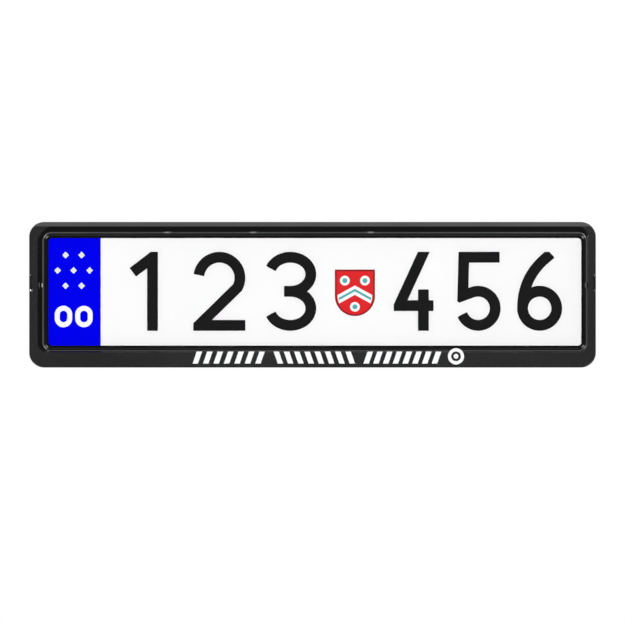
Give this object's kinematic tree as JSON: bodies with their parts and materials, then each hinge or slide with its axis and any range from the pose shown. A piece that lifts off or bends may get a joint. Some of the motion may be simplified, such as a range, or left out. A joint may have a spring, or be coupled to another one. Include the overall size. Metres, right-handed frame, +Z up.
{
  "type": "number plate holder",
  "caption": "Snap-together plastic holder for a long vehicle number plate, with the pressed plate held behind its frame.",
  "frame": {"origin": "middle of the screw slots on the base's back face, which is also the middle of the plate", "axes": "+X along the plate to the viewer's right, +Z up, the front faces -Y and the back face lies in y = 0"},
  "size_m": [0.5333, 0.0125, 0.1371],
  "materials": {
    "frame_plastic": "satin black",
    "base_plastic": "fine moulded texture",
    "plate_sheet": "white reflective face, bare back",
    "band_film": "reflective blue film",
    "badge_film": "red film"
  },
  "bodies": {
    "root": {"front_frame": "frame_plastic", "base_carrier": "base_plastic", "number_plate": "plate_sheet", "band_film": "band_film", "badge_film": "badge_film"}
  },
  "joints": []
}
